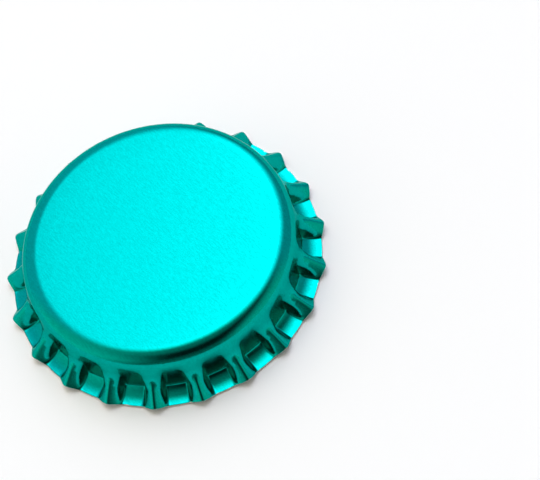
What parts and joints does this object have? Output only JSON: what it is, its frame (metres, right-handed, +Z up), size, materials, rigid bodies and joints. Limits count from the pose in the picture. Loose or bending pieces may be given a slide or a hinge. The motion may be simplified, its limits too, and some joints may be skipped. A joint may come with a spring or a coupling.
{
  "type": "bottle cap",
  "caption": "Crown bottle cap pressed from thin lacquered sheet metal: a flat round top, a rounded shoulder and a flared, fluted skirt that clips over a bottle's lip.",
  "frame": {"origin": "on the cap's axis, at the level of the rim it stands on", "axes": "+Z up along the cap's axis, out of its top panel; +X through the middle of one ridge of the skirt"},
  "size_m": [0.0319, 0.032, 0.0057],
  "materials": {
    "lacquered_sheet": "satin"
  },
  "bodies": {
    "root": {"cap_shell": "lacquered_sheet"}
  },
  "joints": []
}
